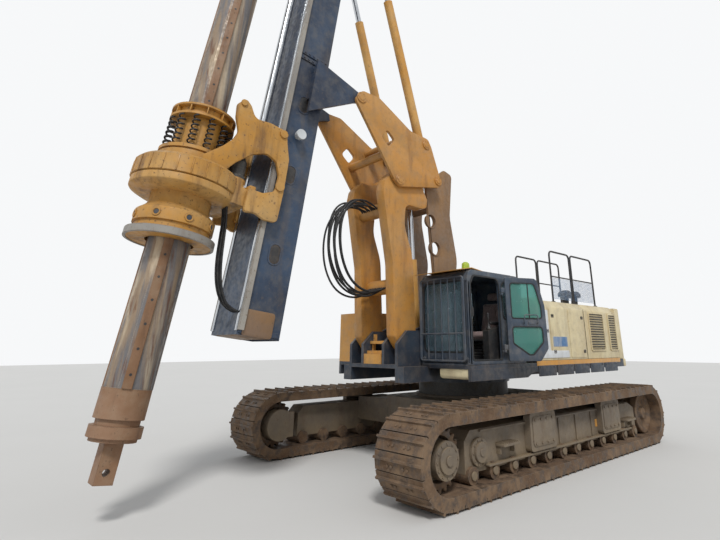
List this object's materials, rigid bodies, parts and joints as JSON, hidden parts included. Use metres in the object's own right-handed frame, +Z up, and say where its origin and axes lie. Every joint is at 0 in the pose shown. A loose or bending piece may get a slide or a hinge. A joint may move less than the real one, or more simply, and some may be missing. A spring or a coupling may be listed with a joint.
{
  "type": "rotary drilling rig",
  "caption": "Rotary drilling rig on crawler tracks, with a cab, parallelogram boom, raked mast, rotary drive on its carriage, and a kelly bar.",
  "frame": {"origin": "Ground level under the middle of the machine's overall box.", "axes": "+Z up, -Y is the front where the mast and kelly stand, +X is the cab side."},
  "size_m": [4.7, 10.3322, 20.4968],
  "materials": {
    "yellow_paint": "faded and dusty",
    "frame_paint": "dusty",
    "track_steel": "dried mud",
    "mast_blue": "faded",
    "dark_paint": "satin",
    "window_glass": "clear",
    "bright_steel": "polished",
    "black_steel": "oily",
    "hood_paint": "dusty",
    "seat_fabric": "worn",
    "beacon_lens": "translucent",
    "engine_iron": "plain",
    "worn_steel": "rusty and scratched"
  },
  "bodies": {
    "undercarriage": {"track_left": "track_steel", "track_right": "track_steel", "frame_left": "frame_paint", "frame_right": "frame_paint", "sprockets": "track_steel", "idlers": "track_steel", "bottom_rollers": "track_steel", "travel_motors": "track_steel", "car_body": "frame_paint", "slew_ring": "frame_paint"},
    "upper": {"platform": "yellow_paint", "steps": "yellow_paint", "sills": "dark_paint", "cab_shell": "dark_paint", "cab_windows": "window_glass", "cab_guard": "dark_paint", "beacon": "beacon_lens", "seat": "seat_fabric", "console": "dark_paint", "left_hood": "hood_paint", "rear_housing": "hood_paint", "engine_block": "engine_iron", "counterweight": "hood_paint", "right_housing": "hood_paint", "railings": "dark_paint", "air_caps": "dark_paint", "winch_frame": "dark_paint"},
    "winch": {"winch_drum": "black_steel"},
    "door": {"cab_door": "dark_paint", "door_glass": "window_glass"},
    "boom_body": {"boom": "yellow_paint"},
    "link_body": {"rear_link": "yellow_paint"},
    "luff_barrel_body": {"luff_barrels": "yellow_paint"},
    "luff_rod_body": {"luff_rods": "bright_steel"},
    "triangle_body": {"triangle": "yellow_paint"},
    "tilt_barrel_body": {"tilt_barrels": "yellow_paint"},
    "tilt_rod_body": {"tilt_rods": "bright_steel"},
    "mast_body": {"mast_lower": "mast_blue", "mast_main": "mast_blue", "guide_rails": "bright_steel", "mast_head": "mast_blue", "head_sheaves": "black_steel", "crowd_barrel": "yellow_paint"},
    "carriage_body": {"carriage": "yellow_paint", "crowd_rod": "bright_steel", "gearbox": "yellow_paint", "drive_motors": "black_steel"},
    "rotor": {"drive_sleeve": "yellow_paint", "spring_pack": "black_steel"},
    "guide_body": {"kelly_guide": "yellow_paint"},
    "kelly_body": {"kelly_tube": "worn_steel", "kelly_foot": "worn_steel", "swivel": "yellow_paint"}
  },
  "joints": [
    {"name": "slew", "type": "hinge", "parent": "undercarriage", "child": "upper", "pos_m": [0, 1.316, 1.1], "axis": [0, 0, 1], "continuous": true},
    {"name": "boom_luff", "type": "hinge", "parent": "upper", "child": "boom_body", "pos_m": [0, -0.664, 1.95], "axis": [1, 0, 0], "range_deg": [-8, 20]},
    {"name": "link_swing", "type": "hinge", "parent": "upper", "child": "link_body", "pos_m": [0, 0.366, 2.15], "axis": [1, 0, 0], "range_deg": [-8, 20]},
    {"name": "triangle_level", "type": "hinge", "parent": "boom_body", "child": "triangle_body", "pos_m": [0, -0.964, 4.7], "axis": [1, 0, 0], "range_deg": [-20, 8]},
    {"name": "luff_barrel_swing", "type": "hinge", "parent": "upper", "child": "luff_barrel_body", "pos_m": [0, -0.104, 1.9], "axis": [1, 0, 0], "range_deg": [-7.7, 19.1]},
    {"name": "luff_rod_slide", "type": "slide", "parent": "luff_barrel_body", "child": "luff_rod_body", "axis": [0, -0.0542, 0.9985], "range_m": [-0.081, 0.194]},
    {"name": "mast_tilt", "type": "hinge", "parent": "triangle_body", "child": "mast_body", "pos_m": [0, -1.884, 6], "axis": [1, 0, 0], "range_deg": [-7.5, 12.5]},
    {"name": "tilt_barrel_swing", "type": "hinge", "parent": "triangle_body", "child": "tilt_barrel_body", "pos_m": [0, -0.254, 5.57], "axis": [1, 0, 0], "range_deg": [-6.3, 10.4]},
    {"name": "tilt_rod_slide", "type": "slide", "parent": "tilt_barrel_body", "child": "tilt_rod_body", "axis": [0, -0.291, 0.9567], "range_m": [-0.187, 0.308]},
    {"name": "drive_slide", "type": "slide", "parent": "mast_body", "child": "carriage_body", "axis": [0, 0.1305, 0.9914], "range_m": [-0.9, 5.4]},
    {"name": "drive_spin", "type": "hinge", "parent": "carriage_body", "child": "rotor", "pos_m": [0, -4.4384, 3.9162], "axis": [0, 0.1305, 0.9914], "continuous": true},
    {"name": "kelly_lift", "type": "slide", "parent": "mast_body", "child": "guide_body", "axis": [0, 0.1305, 0.9914], "range_m": [0, 1.7]},
    {"name": "kelly_spin", "type": "hinge", "parent": "guide_body", "child": "kelly_body", "pos_m": [0, -2.9439, 15.2683], "axis": [0, 0.1305, 0.9914], "continuous": true},
    {"name": "winch_spin", "type": "hinge", "parent": "upper", "child": "winch", "pos_m": [0, 2.716, 2.4], "axis": [1, 0, 0], "continuous": true},
    {"name": "cab_door_swing", "type": "hinge", "parent": "upper", "child": "door", "pos_m": [1.705, 0.376, 2.3], "axis": [0, 0, 1], "range_deg": [-155, 0]}
  ],
  "couplings": [
    {"joint": "link_swing", "follows": "boom_luff", "ratio": 1},
    {"joint": "triangle_level", "follows": "boom_luff", "ratio": -1},
    {"joint": "luff_barrel_swing", "follows": "boom_luff", "ratio": 0.94643},
    {"joint": "luff_rod_slide", "follows": "boom_luff", "m_per_rad": 0.54143},
    {"joint": "tilt_barrel_swing", "follows": "mast_tilt", "ratio": 0.82107},
    {"joint": "tilt_rod_slide", "follows": "mast_tilt", "m_per_rad": 1.3877},
    {"joint": "kelly_spin", "follows": "drive_spin", "ratio": 1}
  ]
}
